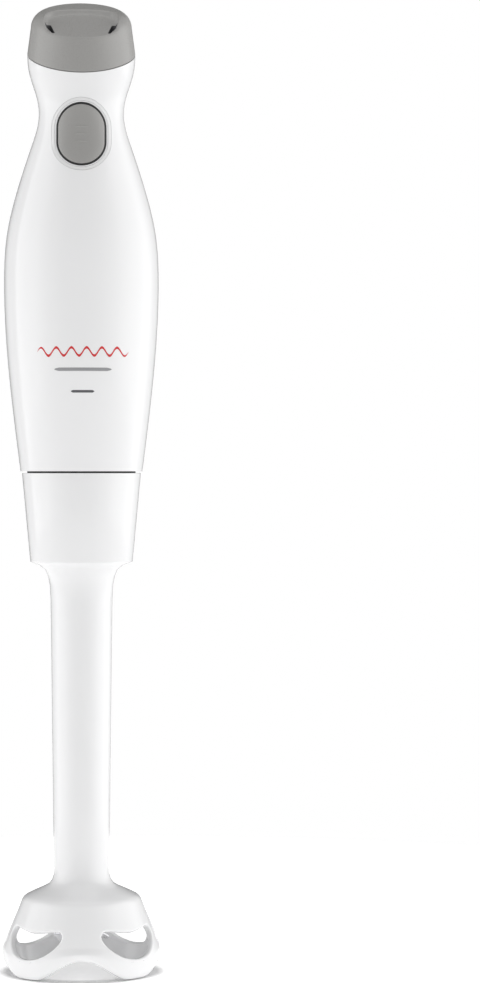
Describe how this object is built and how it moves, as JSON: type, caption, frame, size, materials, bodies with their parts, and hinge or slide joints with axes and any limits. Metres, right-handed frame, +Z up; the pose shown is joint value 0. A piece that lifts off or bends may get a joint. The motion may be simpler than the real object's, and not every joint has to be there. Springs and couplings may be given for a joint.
{
  "type": "immersion blender",
  "caption": "Upright mains hand blender: waisted handle with slanted cap and front push button, and a screw-on shaft with a windowed blade guard.",
  "frame": {"origin": "centre of the base circle that the four feet of the bell stand on", "axes": "+Z up along the drive axis, -Y to the front, where the button is, +X to the viewer's right"},
  "size_m": [0.063, 0.063, 0.3886],
  "materials": {
    "white_plastic": "glossy white moulded plastic",
    "grey_plastic": "satin mid-grey moulded plastic",
    "black_rubber": "matte black rubber",
    "dark_nylon": "dark grey glass-filled nylon",
    "steel": "bright steel",
    "lamination": "stacked electrical steel sheets",
    "copper": "enamelled copper wire",
    "bronze": "sintered bronze",
    "zinc": "die-cast light metal",
    "carbon": "pressed carbon",
    "board": "green circuit board",
    "component": "ochre moulded component"
  },
  "bodies": {
    "foot": {"foot_housing": "white_plastic", "foot_upper_bush": "bronze", "shaft_spacer": "dark_nylon", "lower_bush": "bronze", "lip_seal": "black_rubber", "seal_cup": "steel"},
    "joint_ring": {"foot_gasket": "black_rubber"},
    "motor_unit": {"front_shell": "white_plastic", "rear_shell": "white_plastic", "top_cap": "grey_plastic", "cord_gland": "black_rubber", "motor_spigot": "dark_nylon", "shaft_seal": "black_rubber", "button_seal": "black_rubber", "button_spring": "steel", "button_guide": "dark_nylon", "switch_body": "dark_nylon", "control_board": "board", "suppressor_capacitor": "component", "terminal_block": "zinc", "choke_left": "copper", "choke_right": "copper", "stator_core": "lamination", "field_coil_front": "copper", "field_coil_rear": "copper", "lower_bracket": "zinc", "upper_bracket": "zinc", "lower_bearing": "bronze", "upper_bearing": "bronze", "lower_mount_left": "black_rubber", "lower_mount_right": "black_rubber", "upper_mount_left": "black_rubber", "upper_mount_right": "black_rubber", "motor_screw_left": "steel", "motor_screw_right": "steel", "brush_holder_front": "dark_nylon", "brush_holder_rear": "dark_nylon", "carbon_brush_front": "carbon", "carbon_brush_rear": "carbon", "brush_spring_front": "steel", "brush_spring_rear": "steel"},
    "rotor": {"armature_shaft": "steel", "armature_core": "lamination", "winding_head_lower": "copper", "winding_head_upper": "copper", "commutator": "copper", "cooling_fan": "dark_nylon", "drive_coupler": "dark_nylon"},
    "foot_drive": {"foot_coupler": "dark_nylon", "drive_shaft": "steel", "blade_hub": "dark_nylon", "blade": "steel", "blade_nut": "steel"},
    "button": {"power_button": "grey_plastic"},
    "lever": {"switch_lever": "steel"},
    "plunger": {"switch_plunger": "component"}
  },
  "joints": [
    {"name": "handle_lift", "type": "slide", "parent": "foot", "child": "joint_ring", "axis": [0, 0, 1], "range_m": [0, 0.015]},
    {"name": "handle_twist", "type": "hinge", "parent": "joint_ring", "child": "motor_unit", "pos_m": [0, 0, 0.19], "axis": [0, 0, 1], "range_deg": [0, 300]},
    {"name": "motor_spin", "type": "hinge", "parent": "motor_unit", "child": "rotor", "pos_m": [0, 0, 0.25], "axis": [0, 0, 1], "continuous": true},
    {"name": "shaft_drop", "type": "slide", "parent": "rotor", "child": "foot_drive", "axis": [0, 0, -1], "range_m": [0, 0.015]},
    {"name": "button_press", "type": "slide", "parent": "motor_unit", "child": "button", "axis": [0, 1, 0], "range_m": [0, 0.002], "stiffness_N_per_m": 1200, "springref_m": -0.0012, "deforming": ["button_spring"]},
    {"name": "lever_swing", "type": "hinge", "parent": "motor_unit", "child": "lever", "pos_m": [0, -0.0015, 0.323], "axis": [-1, 0, 0], "range_deg": [0, 10.2]},
    {"name": "plunger_press", "type": "slide", "parent": "motor_unit", "child": "plunger", "axis": [0, 1, 0], "range_m": [0, 0.00064]}
  ],
  "couplings": [
    {"joint": "handle_lift", "follows": "handle_twist", "m_per_rad": 0.0028647},
    {"joint": "shaft_drop", "follows": "handle_twist", "m_per_rad": 0.0028647},
    {"joint": "lever_swing", "follows": "button_press", "rad_per_m": 88.9},
    {"joint": "plunger_press", "follows": "button_press", "ratio": 0.317}
  ]
}
